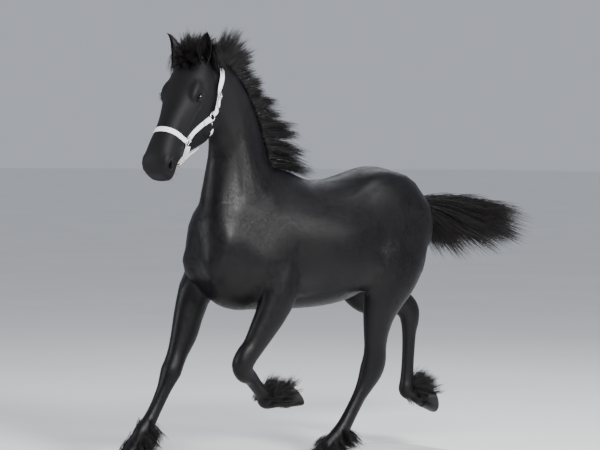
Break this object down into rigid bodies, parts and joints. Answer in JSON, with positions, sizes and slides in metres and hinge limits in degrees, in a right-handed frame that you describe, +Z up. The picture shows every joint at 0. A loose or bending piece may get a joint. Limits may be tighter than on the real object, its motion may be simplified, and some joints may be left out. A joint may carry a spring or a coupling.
{
  "type": "friesian horse model",
  "caption": "Life-size black Friesian horse at a trot with lifted legs, short mane, bushy tail and a white halter, on a flat base.",
  "frame": {"origin": "centre of the base board at its underside, on the floor", "axes": "+X towards the tail, so the horse faces -X; +Y to the horse's right; +Z up"},
  "size_m": [2.4743, 0.66, 1.8912],
  "materials": {
    "coat": "short black coat with a soft sheen",
    "long_hair": "black mane and tail hair, slightly brown at the ends",
    "hoof_horn": "dark hoof horn, satin",
    "eye": "wet dark brown eye",
    "halter_metal": "bright nickel-plated rings and fittings",
    "halter_webbing": "white woven webbing",
    "base_board": "matt grey display board with rounded corners"
  },
  "bodies": {
    "root": {"ear_left": "coat", "ear_right": "coat", "eye_left": "eye", "eye_right": "eye", "forelock": "long_hair", "halter_cheek_left": "halter_webbing", "halter_cheek_right": "halter_webbing", "halter_chin_left": "halter_webbing", "halter_chin_right": "halter_webbing", "halter_crown_left": "halter_webbing", "halter_crown_right": "halter_webbing", "halter_noseband": "halter_webbing", "halter_ring_chin": "halter_metal", "halter_ring_side_left": "halter_metal", "halter_ring_side_right": "halter_metal", "halter_ring_upper_left": "halter_metal", "halter_ring_upper_right": "halter_metal", "halter_throat_left": "halter_webbing", "halter_throat_right": "halter_webbing", "head": "coat", "left_fore_cannon": "coat", "left_fore_forearm": "coat", "left_fore_hoof": "hoof_horn", "left_fore_pastern": "coat", "left_hind_cannon": "coat", "left_hind_gaskin": "coat", "left_hind_hoof": "hoof_horn", "left_hind_pastern": "coat", "mane": "long_hair", "neck": "coat", "right_fore_cannon": "coat", "right_fore_forearm": "coat", "right_fore_hoof": "hoof_horn", "right_fore_pastern": "coat", "right_hind_cannon": "coat", "right_hind_gaskin": "coat", "right_hind_hoof": "hoof_horn", "right_hind_pastern": "coat", "stand_base": "base_board", "tail": "long_hair", "torso": "coat"}
  },
  "joints": []
}
